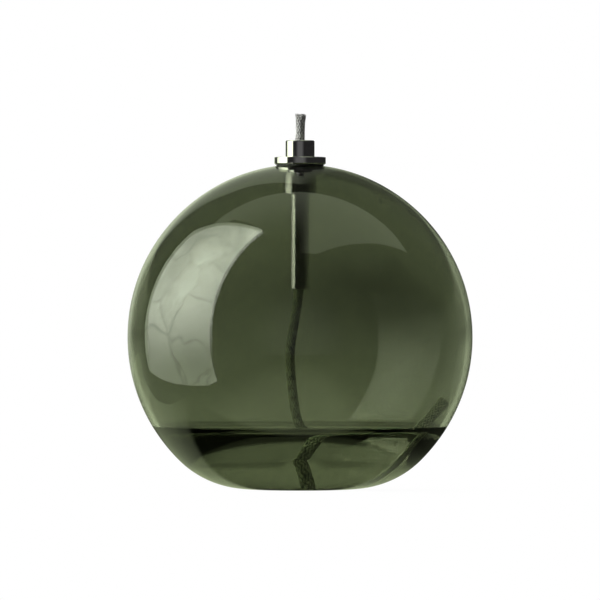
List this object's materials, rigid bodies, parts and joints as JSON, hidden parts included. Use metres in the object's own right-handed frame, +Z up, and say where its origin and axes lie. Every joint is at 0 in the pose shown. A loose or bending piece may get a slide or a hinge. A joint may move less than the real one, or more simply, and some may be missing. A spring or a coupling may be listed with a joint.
{
  "type": "oil lamp",
  "caption": "Refillable oil lamp: a tinted glass globe with a flat foot, closed by a lift-out steel burner that carries a round braided wick down into the oil.",
  "frame": {"origin": "centre of the flat ring that the globe stands on", "axes": "+Z up along the burner's axis; +X towards the side where the wick's free end lies on the wall"},
  "size_m": [0.14, 0.14, 0.1518],
  "materials": {
    "smoke_glass": "polished",
    "oil": "polished",
    "wick_braid": "matte",
    "polished_steel": "polished",
    "tube_steel": "satin",
    "black_silicone": "matte"
  },
  "bodies": {
    "root": {"glass_globe": "smoke_glass", "lamp_oil": "oil", "wick_tail": "wick_braid"},
    "seat": {"flange_seal": "black_silicone"},
    "burner": {"burner_cap": "polished_steel", "burner_flange": "polished_steel", "neck_sleeve": "polished_steel", "wick_tube": "tube_steel", "tube_nut": "tube_steel"},
    "wick": {"wick": "wick_braid"}
  },
  "joints": [
    {"name": "burner_lift", "type": "slide", "parent": "root", "child": "seat", "axis": [0, 0, 1], "range_m": [0, 0.058], "deforming": ["wick_tail"]},
    {"name": "burner_turn", "type": "hinge", "parent": "seat", "child": "burner", "pos_m": [0, 0, 0.1314], "axis": [0, 0, 1], "continuous": true},
    {"name": "wick_adjust", "type": "slide", "parent": "burner", "child": "wick", "axis": [0, 0, 1], "range_m": [-0.008, 0.004], "deforming": ["wick_tail"]}
  ]
}
